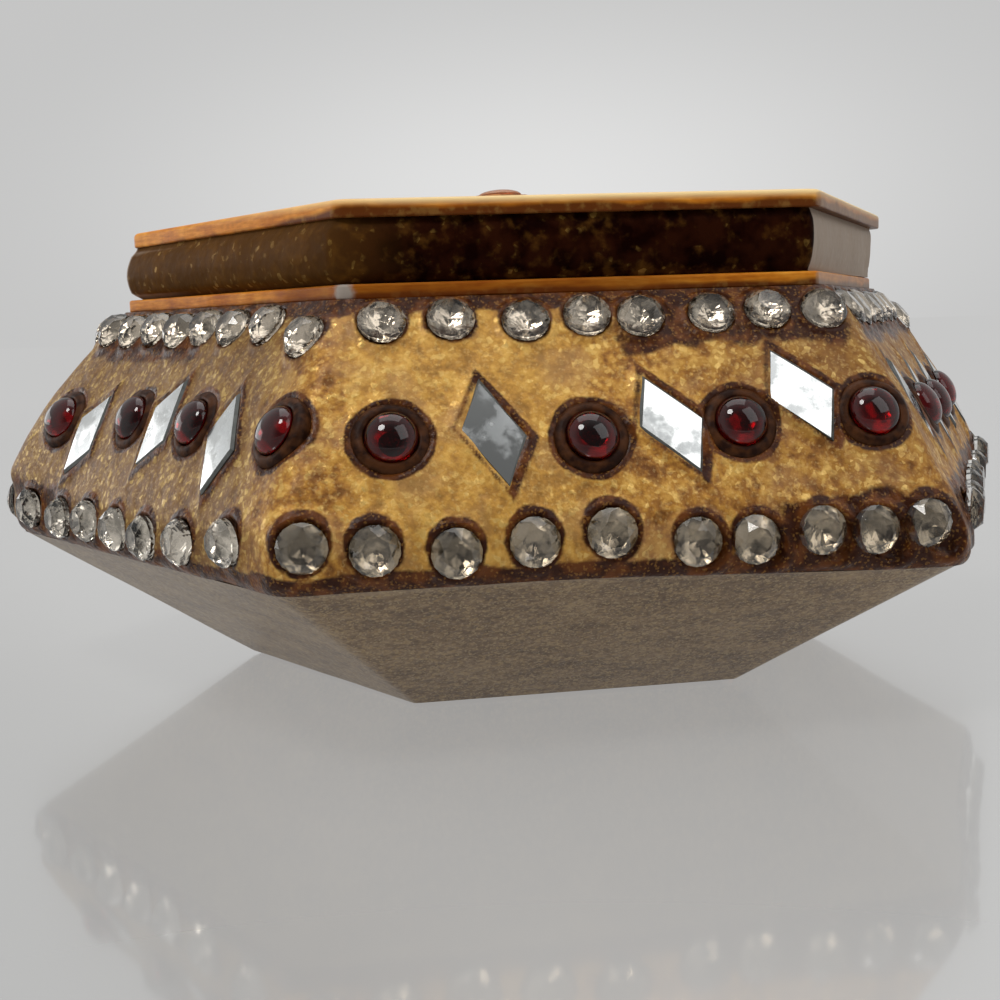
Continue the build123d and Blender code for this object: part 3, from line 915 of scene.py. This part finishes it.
def lid_side():
    """Lac round the lid's edge, full on the left, flat and leaning on the right. It lies a
    little to the left of the plate."""
    shift = (lid_middle[0] - 0.4, lid_middle[1])
    base = side_of("lid_side_coat", lid_turn) - 0.65
    foot = lid_foot - lid_gap * 0.4
    rise = lid_head - foot
    knots = [(foot + share * rise, base - inset) for share, inset in (
        (0.0, 0.45), (0.12, 0.14), (0.35, 0.0), (0.65, 0.0), (0.88, 0.08), (1.0, 0.26))]
    grid = loft([(z, s, 1.1) for z, s in between(knots, 0.3)], 130, lid_turn, shift)
    x, share = grid[:, :, 0], (grid[:, :, 2] - foot) / rise
    fullness = 0.34 - 0.28 * x / base
    height = (fullness * np.sin(np.pi * np.clip(share, 0, 1)) - 0.01 * x * (1 - share)
              + 0.1 * lumps(grid, 6.0, 11) + 0.04 * lumps(grid, 2.2, 12))
    rows = np.arange(len(grid))
    height *= np.minimum(1, np.minimum(rows, rows[::-1]) / 3)[:, None]
    inner = loft([(z, base - 0.78, 0.2) for z in (foot, lid_head)], 130, lid_turn, lid_middle)
    shell(raised(grid, height, foot, lid_head), inner, "lid_side_lac", "lid", [brown],
          ["lid_side_coat"], "brown_lac")


lid_side()


def lid_field():
    """The lid's gold field, a thin cushion of lac with a soft edge."""
    foot, head = levels_of("lid_top_coat")
    side = side_of("lid_top_coat", lid_turn)
    thick = head - foot
    levels = [(foot, side - 0.02, 0.8), (foot + 0.55 * thick, side - 0.06, 0.9),
              (foot + 0.9 * thick, side - 0.28, 1.0)]
    levels += [(head, side - inset, min(1.0, (side - inset) * 0.4))
               for inset in np.linspace(0.7, side - 0.4, 60)]
    grid = loft(levels, 60, lid_turn, lid_middle)
    grid[2:, :, 2] -= np.clip(0.05 + 0.05 * lumps(grid, 3.0, 21)[2:], 0, 0.1)
    capped(grid, "lid_top_lac", "lid", field_gold, "lid_top_coat", "gold_lac", True)


lid_field()


# Rubies and the pads that they sit in

def domes(name, node, body, dome_seats, glass):
    """Polished cabochons that sit in a cup of foil."""
    shape, steps, rings = Shape(), 40, 14
    for seat in dome_seats:
        radius, foot, crown = seat.reach * 0.985, -0.02, seat.height - 0.02
        profile = [(0, -0.62), (radius * 0.35, -0.58), (radius * 0.65, -0.44),
                   (radius * 0.88, -0.22), (radius, foot)]
        for step in range(1, rings):
            turn = math.pi / 2 * step / rings
            profile.append((radius * math.cos(turn), foot + (crown - foot) * math.sin(turn)))
        profile.append((0, crown))
        points, faces = turned(profile, steps, 0.012)
        slots = [1] * (4 * steps) + [0] * (len(faces) - 4 * steps)
        lean = any_lean(0.05)
        shape.add(points, faces, slots, True, place_at(seat, chance.uniform(0, ANY_TURN), 0, lean))
    shape.build(name, body, [glass, ruby_foil], [node], "ruby_glass")


domes("ruby_domes", "rubies", "box", dome_seats, ruby)
lid_dome_seats = [seat._replace(height=seat.height * 0.75) for seat in seats("lid_ruby")]
domes("lid_ruby_dome", "lid_ruby", "lid", lid_dome_seats, rose)


def lac_mounts(name, node, body, mount_seats, material, sink, profile, steps):
    """Lac pressed up round cabochons. The profile gives radius as a share of the seat's
    reach, height as a share of what stands over the lac, and how far it is a lip."""
    shape, lips = Shape(), []
    for seat in mount_seats:
        rise = seat.height - sink
        rings = [(seat.reach * r, -sink if h is None else rise * h) for r, h, _ in profile]
        points, faces = turned(rings, steps, 0.015)
        shape.add(points, faces, 0, True, place_at(seat, chance.uniform(0, ANY_TURN), sink))
        lips += [lip for share, _, lip in profile for _ in range(steps if share else 1)]
    for point, amount in zip(shape.points, lumps(shape.points, 1.3, 31)):
        point += point.normalized() * float(amount) * 0.07
    shape.build(name, body, [material], [node], "dark_lac", {"lip": lips})


lac_mounts("ruby_rings", "ruby_pads", "box", pad_seats, pads, pad_sink, (
    (0, None, 0), (0.975, None, 0), (0.985, 0.0, 0), (0.965, 0.4, 0), (0.91, 0.82, 0.05),
    (0.84, 1.08, 0.1), (0.77, 1.18, 0.3), (0.715, 1.12, 0.8), (0.685, 0.9, 1),
    (0.68, -1.35, 1), (0, -1.35, 1)), 44)
lac_mounts("lid_boss_lac", "lid_boss", "lid", seats("lid_boss"), boss_lac, 0.0, (
    (0, 0.0, 0), (0.955, 0.0, 0), (0.96, 0.06, 0), (0.94, 0.2, 0), (0.88, 0.46, 0),
    (0.8, 0.72, 0.1), (0.73, 0.88, 0.4), (0.67, 0.965, 0.8), (0.61, 0.995, 1), (0.55, 0.98, 1),
    (0, 0.97, 1)), 56)


# Clear stones

def cut_stone(radius, height, girdle, depth):
    """Points and faces of a round stone with a table and three rows of facets, over a
    foiled back that is flat or pointed."""
    bm = bmesh.new()
    for count, share, level, turn in (
            (16, 0.97, 0, 0), (16, 1, girdle, 0),
            (8, 0.84, girdle + (height - girdle) * 0.48, 0), (8, 0.56, height, 0.5)):
        for step in range(count):
            angle = 2 * math.pi * (step + turn) / count
            reach = radius * share
            bm.verts.new((reach * math.cos(angle), reach * math.sin(angle), level))
    if depth:
        bm.verts.new((0, 0, -depth))
    bmesh.ops.convex_hull(bm, input=bm.verts)
    bmesh.ops.dissolve_limit(bm, angle_limit=0.02, verts=bm.verts, edges=bm.edges)
    bm.verts.index_update()
    points = [tuple(v.co) for v in bm.verts]
    faces = [[v.index for v in f.verts] for f in bm.faces]
    slots = [int(f.normal.z < -0.5) for f in bm.faces]
    bm.free()
    return points, faces, slots


def stones(name, node, body, lean, backs, depth):
    """Cut stones on a node's seats, each leaning its own way. A second foil, a brighter copy,
    is for the left-hand sides: painted light."""
    shape = Shape()
    for seat in seats(node):
        height = seat.height - 0.12
        if name == "rim_row" and seat.axis.x > 0.5:
            height *= 0.65
        points, faces, slots = cut_stone(seat.reach * 0.97, height, height / 3, depth)
        # Left-hand stones take the second, brighter foil: painted light.
        if len(backs) > 1 and seat.axis.x < -0.3:
            slots = [2 * slot for slot in slots]
        tilt = any_lean(lean)
        spin = chance.uniform(0, ANY_TURN)
        if name == "waist_row" and seat.axis.x > 0.5:
            beside = float(near_corner(np.array([seat.middle]), RIGHT_CORNER, droop_width)[0])
            seat = seat._replace(middle=seat.middle + Vector((0.9 * beside, 0, 0)))
        shape.add(points, faces, slots, False, place_at(seat, spin, 0, tilt))
    shape.build(name, body, [clear, *backs], [node], "clear_glass")


stones("waist_row", "waist_stones", "box", 0.06, [dull_foil, bright_foil], 0.55)
stones("rim_row", "rim_stones", "box", 0.06, [silver_foil], 0.55)
stones("lid_stone_rings", "lid_stones", "lid", 0.02, [silver_foil], 0)


# Mirrors

def hand_cut(half_x, half_y, rise, depth):
    """Points, faces, materials and softness of a slanted diamond of slightly domed mirror
    glass, cut by hand, with a narrow rough edge that is wider on one side."""
    corners = [(half_x, half_x * mirror_slant), (0, half_y),
               (-half_x, -half_x * mirror_slant), (0, -half_y)]
    corners = [Vector((x * chance.uniform(0.94, 1.0) + chance.uniform(-0.12, 0.12),
                       y * chance.uniform(0.95, 1.0) + chance.uniform(-0.1, 0.1)))
               for x, y in corners]
    inset, aside = chance.uniform(0.89, 0.93), Vector((chance.uniform(-0.14, -0.02), -0.05))
    steps, top = 10, rise - dome_rise
    points = []
    rings = [(1.0, -depth), (1.0, top - 0.18)]
    rings += [(inset * share, top) for share in (1.0, 1.0, 0.8, 0.6, 0.4, 0.2, 0.06)]
    for share, level in rings:
        for start, end in zip(corners, corners[1:] + corners[:1]):
            for step in range(steps):
                spot = start.lerp(end, step / steps) * share + aside * (share < 1)
                crown = dome_rise * (1 - (spot.length / half_y) ** 2)
                points.append((*spot, level + (crown if level > 0 else 0)))
    count = 4 * steps
    bands = strip_faces(len(points) // count, count)
    del bands[2 * count:3 * count]  # the two rings on the glass's edge, which keep it crisp
    faces = [range(count)[::-1], *bands, range(len(points) - count, len(points))]
    rough = 1 + 2 * count
    glass = len(faces) - rough
    return points, faces, [1] * rough + [0] * glass, [False] * rough + [True] * glass


def mirrors(name, node, body, mirror_seats, lean):
    shape = Shape()
    for seat in mirror_seats:
        points, faces, slots, soft = hand_cut(seat.reach * mirror_shape, seat.reach,
                                              seat.height - pad_sink - 0.02, 0.3)
        tilt = any_lean(lean)
        shape.add(points, faces, slots, soft, place_at(seat, 0, pad_sink, tilt))
    shape.build(name, body, [silver, glass_edge], [node], "mirror_glass")


mirrors("shoulder_mirrors", "side_mirrors", "box", mirror_seats, 0.03)
mirrors("lid_star", "lid_mirrors", "lid", seats("lid_mirrors"), 0.0)


# Floor, light and camera

def stage_floor():
    """A pale, slightly polished table that fades into the pale surroundings."""
    t = Tree("floor")
    t.tree.nodes.remove(t.shader)
    out = next(n for n in t.tree.nodes if n.type == "OUTPUT_MATERIAL")
    matt = t.node("BsdfDiffuse", Color=(0.66, 0.66, 0.655)).outputs[0]
    x, y, z = t.axes()
    # The table's glow is darker towards the left: painted shade.
    side = t.step(t.blend((x, 1.0), (y, 0.35)), -66, -34)
    tone = t.mix(side, (0.47, 0.47, 0.465), (0.585, 0.585, 0.58))
    glow, plain = (t.node("Emission", Color=colour, Strength=1.0).outputs[0]
                   for colour in (tone, (0.57, 0.57, 0.566)))
    polish, sheen = (t.node("BsdfGlossy", Color=(1.0, 1.0, 1.0),
                            Roughness=rough).outputs[0] for rough in (0.06, 0.24))
    facing = t.node("Fresnel", IOR=2.9).outputs[0]
    near = t.shaders(facing, t.shaders(0.8, matt, glow), t.shaders(0.5, polish, sheen))
    whole = t.shaders(t.step(t.vector("LENGTH", t.place), 230, 600), near, plain)
    t.feed(out.inputs["Surface"], whole)
    count, level, reaches = 96, -0.03, (150, 400, 1200, 4000)
    turns = [2 * math.pi * i / count for i in range(count)]
    points = [(reach * math.cos(turn), reach * math.sin(turn), level)
              for reach in reaches for turn in turns] + [(0, 0, level)]
    faces = [face[::-1] for face in strip_faces(len(reaches), count)]
    faces += [(len(points) - 1, i, (i + 1) % count) for i in range(count)]
    mesh = bpy.data.meshes.new("floor")
    mesh.from_pydata([Vector(p) * MM for p in points], [], faces)
    mesh.materials.append(t.owner)
    floor = placed("floor", mesh)
    return floor


floor = stage_floor()


def room():
    """Pale surroundings, which metal and glass show too. For rays that don't come from the
    camera, they are dimmer on the viewer's side."""
    world = bpy.data.worlds.new("room")
    bpy.context.scene.world = world
    t = Nodes(world)
    t.tree.nodes.clear()
    way = t.node("TexCoord").outputs["Generated"]
    rays = t.node("LightPath").outputs
    off = t.vector("SUBTRACT", way, Vector((0.19, 0.97, 0.075)).normalized())
    reach = t.vector("LENGTH", t.vector("MULTIPLY", off, (1.0, 1.0, 2.2)))
    glow = t.step(reach, 0.0, 0.42, 0.76, 0.56)
    viewer = t.vector("DOT_PRODUCT", way, Vector((0.0, -0.92, 0.39)).normalized())
    share = t.step(viewer, 0.35, 0.95, 1.0, 0.21)
    camera = rays["Is Camera Ray"]
    strength = t.times(glow, t.math("MAXIMUM", share, camera))
    seen = t.node("Background", Color=(1.0, 1.0, 0.995), Strength=strength)
    lit = t.node("Background", Color=(1.0, 0.995, 0.985), Strength=t.times(share, 0.62))
    clear_rays = t.math("MAXIMUM", rays["Is Glossy Ray"], rays["Is Transmission Ray"])
    t.node("OutputWorld", Surface=t.shaders(
        t.math("MAXIMUM", camera, clear_rays), lit.outputs[0], seen.outputs[0]))


room()


def lamp(name, direction, distance, width, height, radiance, colour=(1, 1, 1), disc=False):
    """A softbox that faces the middle of the box. Only the disc lights the table, so that
    the polish shows no edges of the others."""
    light = bpy.data.lights.new(name, "AREA")
    light.shape = "ELLIPSE" if disc else "RECTANGLE"
    light.size, light.size_y = width, height
    light.color = colour
    light.energy = radiance * math.pi * width * height * (math.pi / 4 if disc else 1)
    holder = placed(name, light)
    aim = Vector(direction).normalized()
    holder.location = aim * distance + Vector((0, 0, 0.02))
    holder.rotation_euler = aim.to_track_quat("Z", "Y").to_euler()
    holder.visible_camera = False
    if not disc:
        apart = bpy.data.collections.new(name + "_lights_no_floor")
        apart.objects.link(floor)
        apart.collection_objects[0].light_linking.link_state = "EXCLUDE"
        holder.light_linking.receiver_collection = apart


lamp("key", (-0.36, -0.41, 0.84), 0.55, 0.16, 0.16, 13.5, (1.0, 0.985, 0.96), True)
lamp("right_box", (0.52, -0.6, 0.7), 0.6, 0.3, 0.4, 1.4)
lamp("left_window", (-0.79, 0.59, 0.165), 0.6, 0.46, 0.185, 1.5)
lamp("top_box", (0.05, 0.25, 1.0), 0.6, 0.5, 0.5, 1.3)


def viewpoint():
    """The photograph's view, slightly from above the lid's edge."""
    data = bpy.data.cameras.new("viewpoint")
    data.lens, data.sensor_width, data.clip_start = 49.93, 36, 0.005
    eye = placed("viewpoint", data)
    right = (0.98651662, -0.16014434, -0.03374547)
    up = (0.05362709, 0.12149958, 0.99114176)
    back = (-0.15462568, -0.97958749, 0.12844943)
    turn = Matrix((right, up, back)).transposed().to_4x4()
    eye.matrix_world = Matrix.Translation(Vector((-24.1, -138.89, 32.35)) * MM) @ turn
    bpy.context.scene.camera = eye


viewpoint()
bpy.context.scene.view_settings.view_transform = "Standard"
